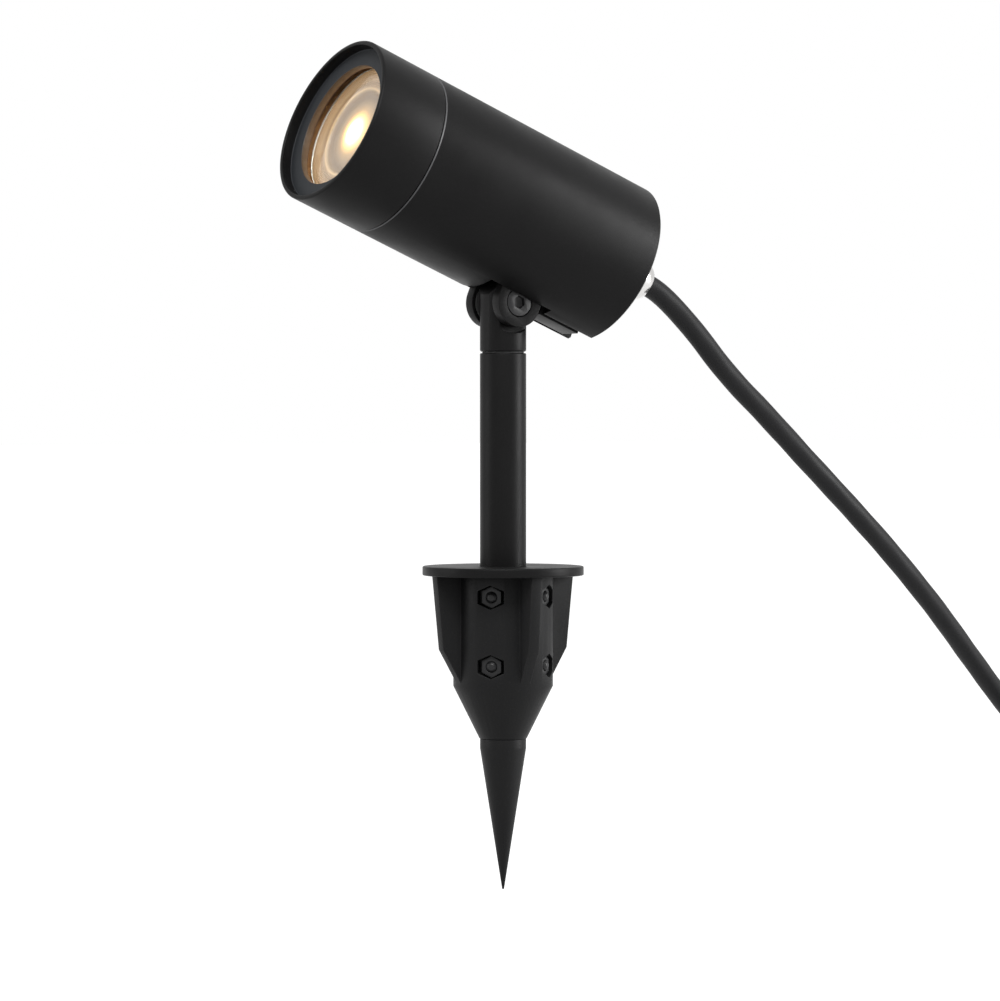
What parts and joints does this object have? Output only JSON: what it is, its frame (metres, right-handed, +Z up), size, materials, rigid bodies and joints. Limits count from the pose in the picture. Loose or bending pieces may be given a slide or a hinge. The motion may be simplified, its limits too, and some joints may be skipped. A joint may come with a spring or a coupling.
{
  "type": "landscape spotlight",
  "caption": "Garden spotlight: round head with a lens lamp, on a tilting and swivelling stem over a ground flange and finned spike, with supply cord and plug.",
  "frame": {"origin": "centre of the ground flange's underside, at ground level on the stem's axis", "axes": "+Z up along the stem; the head points towards -Y and tilts about X through the pivot at z 0.096 m"},
  "size_m": [0.0776, 0.5714, 0.2964],
  "materials": {
    "black_coat": "fine satin powder coat on aluminium",
    "anodised_black": "black anodised, threaded",
    "clear_glass": "clear toughened glass, flat",
    "seal_rubber": "matte silicone rubber",
    "lamp_shell": "smooth white lamp shell",
    "lamp_lens": "warm ringed lens",
    "lamp_reflector": "bright metallised cup",
    "led_board": "metal-core board with one domed emitter",
    "circuit_board": "bare board",
    "nickel": "nickel plated brass",
    "ceramic": "unglazed ceramic",
    "zinc_steel": "zinc plated steel",
    "terminal_plastic": "natural polyamide",
    "brass_parts": "plain turned brass",
    "wire_sleeve": "brown, blue and green-yellow sleeves",
    "black_steel": "blackened steel",
    "friction_fibre": "dark friction fibre",
    "black_plastic": "moulded black polyamide",
    "dark_steel": "dark passivated steel",
    "cord_rubber": "smooth matte rubber sheath",
    "plug_rubber": "moulded rubber"
  },
  "bodies": {
    "root": {"stem_tube": "black_coat", "stem_bush": "brass_parts", "flange_disc": "black_coat", "spike_collar": "black_plastic", "collar_nuts": "dark_steel", "collar_screws": "dark_steel", "spike_point": "black_coat"},
    "swivel": {"knuckle": "black_coat", "swivel_washer": "friction_fibre", "swivel_nut": "zinc_steel", "pivot_washers": "friction_fibre", "supply_cord": "cord_rubber", "cord_coil": "cord_rubber", "cord_tail": "cord_rubber", "coil_tie": "black_plastic", "plug_body": "plug_rubber", "plug_pins": "nickel", "plug_earth_clips": "nickel"},
    "head": {"lamp_housing": "black_coat", "housing_seal": "seal_rubber", "lamp_body": "lamp_shell", "lamp_lens": "lamp_lens", "lamp_reflector": "lamp_reflector", "led_module": "led_board", "lamp_driver": "circuit_board", "lamp_pins": "nickel", "lampholder": "ceramic", "holder_bracket": "zinc_steel", "holder_screws": "zinc_steel", "terminal_block": "terminal_plastic", "terminal_screws": "brass_parts", "earth_screw": "brass_parts", "inner_wires": "wire_sleeve", "clevis": "black_coat", "clevis_screws": "zinc_steel", "pivot_screw": "black_steel", "pivot_nut": "black_steel", "gland_body": "nickel", "gland_nut": "nickel", "gland_seal": "seal_rubber", "gland_locknut": "nickel", "cord_entry": "cord_rubber"},
    "glass_carrier": {"front_glass": "clear_glass", "glass_gasket": "seal_rubber"},
    "bezel": {"front_bezel": "black_coat", "glass_keeper": "anodised_black"}
  },
  "joints": [
    {"name": "swivel_pan", "type": "hinge", "parent": "root", "child": "swivel", "pos_m": [0, 0, 0.0788], "axis": [0, 0, 1], "range_deg": [-170, 170]},
    {"name": "tilt", "type": "hinge", "parent": "swivel", "child": "head", "pos_m": [0, 0, 0.096], "axis": [-1, 0, 0], "range_deg": [-72, 27], "deforming": ["supply_cord"]},
    {"name": "bezel_travel", "type": "slide", "parent": "head", "child": "glass_carrier", "axis": [0, -0.9219, 0.3875], "range_m": [0, 0.009]},
    {"name": "bezel_turn", "type": "hinge", "parent": "glass_carrier", "child": "bezel", "pos_m": [0, -0.05744, 0.1529], "axis": [0, -0.9219, 0.3875], "range_deg": [0, 2160]}
  ],
  "couplings": [
    {"joint": "bezel_travel", "follows": "bezel_turn", "m_per_rad": 0.00023873}
  ]
}
